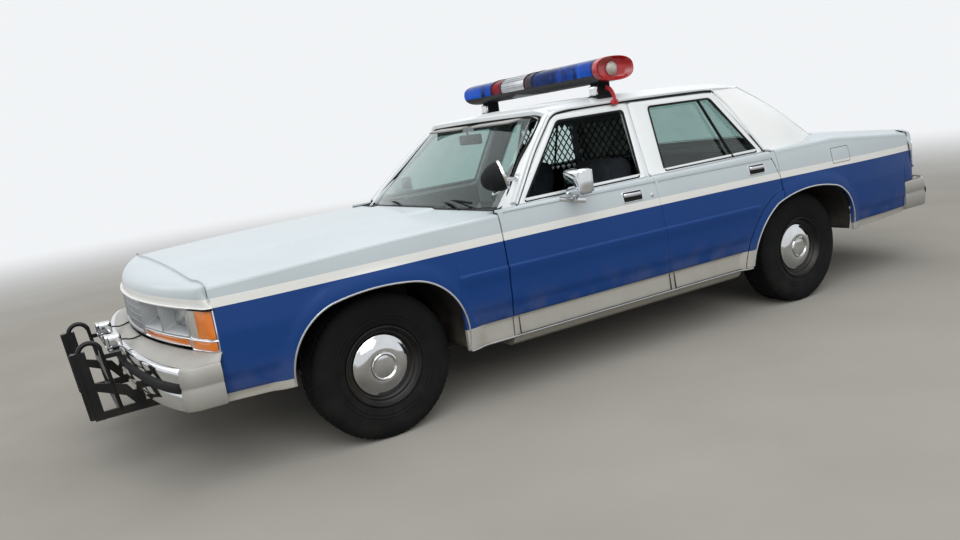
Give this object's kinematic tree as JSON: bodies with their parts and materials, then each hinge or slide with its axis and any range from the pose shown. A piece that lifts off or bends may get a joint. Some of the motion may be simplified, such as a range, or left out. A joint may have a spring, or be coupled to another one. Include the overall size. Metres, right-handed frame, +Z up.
{
  "type": "police patrol car",
  "caption": "Full-size four-door patrol sedan with a roof light bar, push guard, spotlight, opening doors, hood and trunk lid, steered front wheels and free-turning wheels.",
  "frame": {"origin": "on the floor under the middle of the car", "axes": "+X towards the front of the car, +Y to its left, +Z up"},
  "size_m": [5.575, 2.194, 1.648],
  "materials": {
    "chassis_black": "satin black underbody paint",
    "floor_paint": "dull primer",
    "cast_iron_grey": "rough",
    "white_paint": "glossy white",
    "grey_paint": "glossy metallic grey",
    "two_tone_paint": "glossy metallic grey over a white stripe over blue",
    "silver_blue_paint": "metallic",
    "silver_plastic": "silver",
    "dark_plastic": "grained",
    "chrome": "mirror bright",
    "brushed_metal": "pierced sheet",
    "lamp_glass": "fluted",
    "amber_lens": "clear amber",
    "red_lens": "clear red",
    "blue_lens": "clear blue",
    "window_glass": "tinted",
    "wheel_steel": "gloss black, with a bright domed cap",
    "tyre": "worn black rubber",
    "forged_steel": "rough",
    "tank_steel": "dull",
    "seat_vinyl": "ribbed vinyl",
    "screen_steel": "satin black",
    "guard_steel": "satin black with rubber faces",
    "black_rubber": "smooth"
  },
  "bodies": {
    "body": {"bumper_lamps": "chrome", "cowl": "grey_paint", "dashboard": "dark_plastic", "engine_block": "cast_iron_grey", "exhaust": "tank_steel", "fender_left": "two_tone_paint", "fender_right": "two_tone_paint", "floor_pan": "floor_paint", "frame": "chassis_black", "front_bumper": "chrome", "front_frame": "chassis_black", "front_seats": "seat_vinyl", "front_suspension": "chassis_black", "fuel_tank": "tank_steel", "grille": "silver_plastic", "header_panel": "grey_paint", "headlamps": "lamp_glass", "lamp_lead_left": "black_rubber", "lamp_lead_right": "black_rubber", "light_bar_base": "dark_plastic", "light_bar_lenses": "blue_lens", "light_bar_speaker": "brushed_metal", "marker_lamps": "amber_lens", "partition": "screen_steel", "push_guard": "guard_steel", "quarter_left": "two_tone_paint", "quarter_right": "two_tone_paint", "rear_axle": "chassis_black", "rear_bumper": "chrome", "rear_deck": "grey_paint", "rear_seat": "seat_vinyl", "rear_window": "window_glass", "roof_and_pillars": "white_paint", "sills": "silver_blue_paint", "spotlight": "chrome", "tail_lamps": "red_lens", "tail_panel": "grey_paint", "windscreen": "window_glass"},
    "hood": {"hood": "grey_paint"},
    "trunk_lid": {"trunk_lid": "grey_paint"},
    "door_front_left": {"door_front_left": "two_tone_paint", "mirror_left": "chrome"},
    "door_front_right": {"door_front_right": "two_tone_paint", "glass_front_right": "window_glass", "mirror_right": "chrome"},
    "door_rear_left": {"door_rear_left": "two_tone_paint", "glass_rear_left": "window_glass"},
    "door_rear_right": {"door_rear_right": "two_tone_paint", "glass_rear_right": "window_glass"},
    "knuckle_left": {"knuckle_left": "forged_steel"},
    "knuckle_right": {"knuckle_right": "forged_steel"},
    "steering_wheel": {"steering_wheel": "dark_plastic"},
    "wheel_front_left": {"wheel_front_left": "wheel_steel", "tyre_front_left": "tyre"},
    "wheel_front_right": {"wheel_front_right": "wheel_steel", "tyre_front_right": "tyre"},
    "wheel_rear_left": {"wheel_rear_left": "wheel_steel", "tyre_rear_left": "tyre"},
    "wheel_rear_right": {"wheel_rear_right": "wheel_steel", "tyre_rear_right": "tyre"}
  },
  "joints": [
    {"name": "hood_hinge", "type": "hinge", "parent": "body", "child": "hood", "pos_m": [0.8505, 0, 0.976], "axis": [0, -1, 0], "range_deg": [0, 55]},
    {"name": "trunk_hinge", "type": "hinge", "parent": "body", "child": "trunk_lid", "pos_m": [-1.7375, 0, 1.046], "axis": [0, 1, 0], "range_deg": [0, 60]},
    {"name": "front_left_door_hinge", "type": "hinge", "parent": "body", "child": "door_front_left", "pos_m": [0.8885, 0.986, 0.7], "axis": [0, 0, -1], "range_deg": [0, 65]},
    {"name": "rear_left_door_hinge", "type": "hinge", "parent": "body", "child": "door_rear_left", "pos_m": [-0.1155, 0.986, 0.7], "axis": [0, 0, -1], "range_deg": [0, 65]},
    {"name": "front_right_door_hinge", "type": "hinge", "parent": "body", "child": "door_front_right", "pos_m": [0.8885, -0.986, 0.7], "axis": [0, 0, 1], "range_deg": [0, 65]},
    {"name": "rear_right_door_hinge", "type": "hinge", "parent": "body", "child": "door_rear_right", "pos_m": [-0.1155, -0.986, 0.7], "axis": [0, 0, 1], "range_deg": [0, 65]},
    {"name": "steer_left", "type": "hinge", "parent": "body", "child": "knuckle_left", "pos_m": [1.5565, 0.677, 0.347], "axis": [0, 0, 1], "range_deg": [-30, 30]},
    {"name": "steer_right", "type": "hinge", "parent": "body", "child": "knuckle_right", "pos_m": [1.5565, -0.677, 0.347], "axis": [0, 0, 1], "range_deg": [-30, 30]},
    {"name": "steering_wheel_turn", "type": "hinge", "parent": "body", "child": "steering_wheel", "pos_m": [0.4065, 0.37, 0.85], "axis": [-0.8829, 0, 0.4695], "range_deg": [-480, 480]},
    {"name": "spin_front_left", "type": "hinge", "parent": "knuckle_left", "child": "wheel_front_left", "pos_m": [1.5565, 0.78, 0.347], "axis": [0, 1, 0], "continuous": true},
    {"name": "spin_front_right", "type": "hinge", "parent": "knuckle_right", "child": "wheel_front_right", "pos_m": [1.5565, -0.78, 0.347], "axis": [0, 1, 0], "continuous": true},
    {"name": "spin_rear_left", "type": "hinge", "parent": "body", "child": "wheel_rear_left", "pos_m": [-1.3465, 0.78, 0.347], "axis": [0, 1, 0], "continuous": true},
    {"name": "spin_rear_right", "type": "hinge", "parent": "body", "child": "wheel_rear_right", "pos_m": [-1.3465, -0.78, 0.347], "axis": [0, 1, 0], "continuous": true}
  ],
  "couplings": [
    {"joint": "steer_right", "follows": "steer_left", "ratio": 1},
    {"joint": "steering_wheel_turn", "follows": "steer_left", "ratio": 16}
  ]
}
